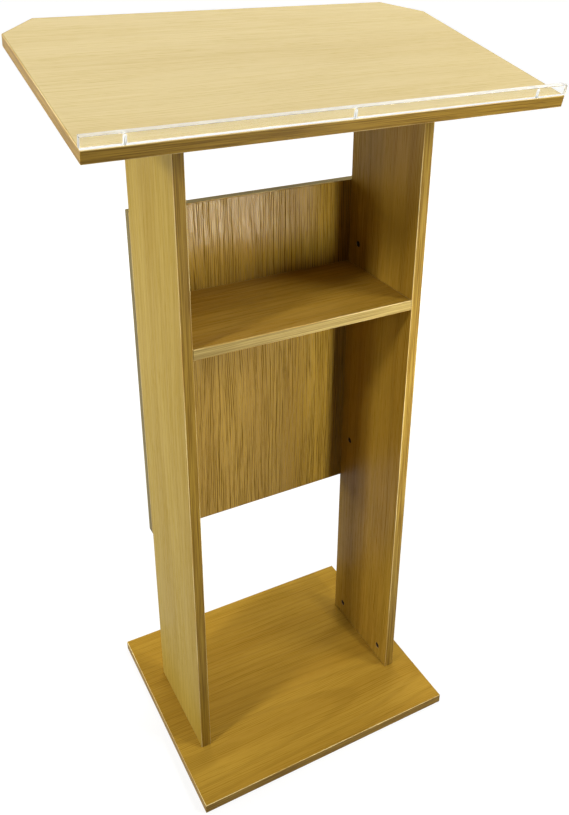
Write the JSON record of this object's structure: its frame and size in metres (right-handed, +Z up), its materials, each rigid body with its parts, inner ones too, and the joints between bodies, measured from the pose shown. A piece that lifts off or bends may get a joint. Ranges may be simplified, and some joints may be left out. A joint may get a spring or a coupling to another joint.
{
  "type": "lectern",
  "caption": "Free-standing lectern: a sloping reading top with a clear page stop, on board uprights that hold an open shelf and an audience-side panel above a flat base.",
  "frame": {"origin": "middle of the base board's underside, on the floor", "axes": "+Z up; +Y away from the reader, towards the audience; +X to the reader's right"},
  "size_m": [0.6, 0.3567, 1.0668],
  "materials": {
    "oak_board": "satin oak-effect melamine",
    "page_stop": "clear polished acrylic",
    "cam": "dark plated zinc casting",
    "bolt": "bright plated steel",
    "dowel": "bare beech"
  },
  "bodies": {
    "lectern": {"base_board": "oak_board", "left_upright": "oak_board", "right_upright": "oak_board", "shelf": "oak_board", "modesty_panel": "oak_board", "reading_top": "oak_board", "page_stop": "page_stop", "page_stop_screw_left": "bolt", "page_stop_screw_middle": "bolt", "page_stop_screw_right": "bolt", "base_bolt_left_front": "bolt", "base_bolt_left_rear": "bolt", "base_bolt_right_front": "bolt", "base_bolt_right_rear": "bolt", "panel_bolt_left_lower": "bolt", "panel_bolt_left_upper": "bolt", "panel_bolt_right_lower": "bolt", "panel_bolt_right_upper": "bolt", "shelf_bolt_left_front": "bolt", "shelf_bolt_left_rear": "bolt", "shelf_bolt_right_front": "bolt", "shelf_bolt_right_rear": "bolt", "top_bolt_left_front": "bolt", "top_bolt_left_rear": "bolt", "top_bolt_right_front": "bolt", "top_bolt_right_rear": "bolt", "base_dowel_left": "dowel", "base_dowel_right": "dowel", "panel_dowel_left_lower": "dowel", "panel_dowel_left_upper": "dowel", "panel_dowel_right_lower": "dowel", "panel_dowel_right_upper": "dowel", "shelf_dowel_left": "dowel", "shelf_dowel_right": "dowel", "top_dowel_left": "dowel", "top_dowel_right": "dowel"},
    "base_cam_left_front": {"base_cam_left_front": "cam"},
    "base_cam_left_rear": {"base_cam_left_rear": "cam"},
    "base_cam_right_front": {"base_cam_right_front": "cam"},
    "base_cam_right_rear": {"base_cam_right_rear": "cam"},
    "panel_cam_left_lower": {"panel_cam_left_lower": "cam"},
    "panel_cam_left_upper": {"panel_cam_left_upper": "cam"},
    "panel_cam_right_lower": {"panel_cam_right_lower": "cam"},
    "panel_cam_right_upper": {"panel_cam_right_upper": "cam"},
    "shelf_cam_left_front": {"shelf_cam_left_front": "cam"},
    "shelf_cam_left_rear": {"shelf_cam_left_rear": "cam"},
    "shelf_cam_right_front": {"shelf_cam_right_front": "cam"},
    "shelf_cam_right_rear": {"shelf_cam_right_rear": "cam"},
    "top_cam_left_front": {"top_cam_left_front": "cam"},
    "top_cam_left_rear": {"top_cam_left_rear": "cam"},
    "top_cam_right_front": {"top_cam_right_front": "cam"},
    "top_cam_right_rear": {"top_cam_right_rear": "cam"}
  },
  "joints": [
    {"name": "base_cam_left_front_turn", "type": "hinge", "parent": "lectern", "child": "base_cam_left_front", "pos_m": [-0.1695, -0.0575, 0.0403], "axis": [1, 0, 0], "range_deg": [0, 180]},
    {"name": "base_cam_left_rear_turn", "type": "hinge", "parent": "lectern", "child": "base_cam_left_rear", "pos_m": [-0.1695, 0.0575, 0.0403], "axis": [1, 0, 0], "range_deg": [0, 180]},
    {"name": "base_cam_right_front_turn", "type": "hinge", "parent": "lectern", "child": "base_cam_right_front", "pos_m": [0.1695, -0.0575, 0.0403], "axis": [-1, 0, 0], "range_deg": [0, 180]},
    {"name": "base_cam_right_rear_turn", "type": "hinge", "parent": "lectern", "child": "base_cam_right_rear", "pos_m": [0.1695, 0.0575, 0.0403], "axis": [-1, 0, 0], "range_deg": [0, 180]},
    {"name": "panel_cam_left_lower_turn", "type": "hinge", "parent": "lectern", "child": "panel_cam_left_lower", "pos_m": [-0.1695, 0.059, 0.393], "axis": [1, 0, 0], "range_deg": [0, 180]},
    {"name": "panel_cam_left_upper_turn", "type": "hinge", "parent": "lectern", "child": "panel_cam_left_upper", "pos_m": [-0.1695, 0.059, 0.74], "axis": [1, 0, 0], "range_deg": [0, 180]},
    {"name": "panel_cam_right_lower_turn", "type": "hinge", "parent": "lectern", "child": "panel_cam_right_lower", "pos_m": [0.1695, 0.059, 0.393], "axis": [-1, 0, 0], "range_deg": [0, 180]},
    {"name": "panel_cam_right_upper_turn", "type": "hinge", "parent": "lectern", "child": "panel_cam_right_upper", "pos_m": [0.1695, 0.059, 0.74], "axis": [-1, 0, 0], "range_deg": [0, 180]},
    {"name": "shelf_cam_left_front_turn", "type": "hinge", "parent": "lectern", "child": "shelf_cam_left_front", "pos_m": [-0.1367, -0.0575, 0.6985], "axis": [0, 0, -1], "range_deg": [0, 180]},
    {"name": "shelf_cam_left_rear_turn", "type": "hinge", "parent": "lectern", "child": "shelf_cam_left_rear", "pos_m": [-0.1367, 0.0575, 0.6985], "axis": [0, 0, -1], "range_deg": [0, 180]},
    {"name": "shelf_cam_right_front_turn", "type": "hinge", "parent": "lectern", "child": "shelf_cam_right_front", "pos_m": [0.1367, -0.0575, 0.6985], "axis": [0, 0, -1], "range_deg": [0, 180]},
    {"name": "shelf_cam_right_rear_turn", "type": "hinge", "parent": "lectern", "child": "shelf_cam_right_rear", "pos_m": [0.1367, 0.0575, 0.6985], "axis": [0, 0, -1], "range_deg": [0, 180]},
    {"name": "top_cam_left_front_turn", "type": "hinge", "parent": "lectern", "child": "top_cam_left_front", "pos_m": [-0.1695, -0.05209, 0.97641], "axis": [1, 0, 0], "range_deg": [0, 180]},
    {"name": "top_cam_left_rear_turn", "type": "hinge", "parent": "lectern", "child": "top_cam_left_rear", "pos_m": [-0.1695, 0.06291, 1.00191], "axis": [1, 0, 0], "range_deg": [0, 180]},
    {"name": "top_cam_right_front_turn", "type": "hinge", "parent": "lectern", "child": "top_cam_right_front", "pos_m": [0.1695, -0.05209, 0.97641], "axis": [-1, 0, 0], "range_deg": [0, 180]},
    {"name": "top_cam_right_rear_turn", "type": "hinge", "parent": "lectern", "child": "top_cam_right_rear", "pos_m": [0.1695, 0.06291, 1.00191], "axis": [-1, 0, 0], "range_deg": [0, 180]}
  ]
}
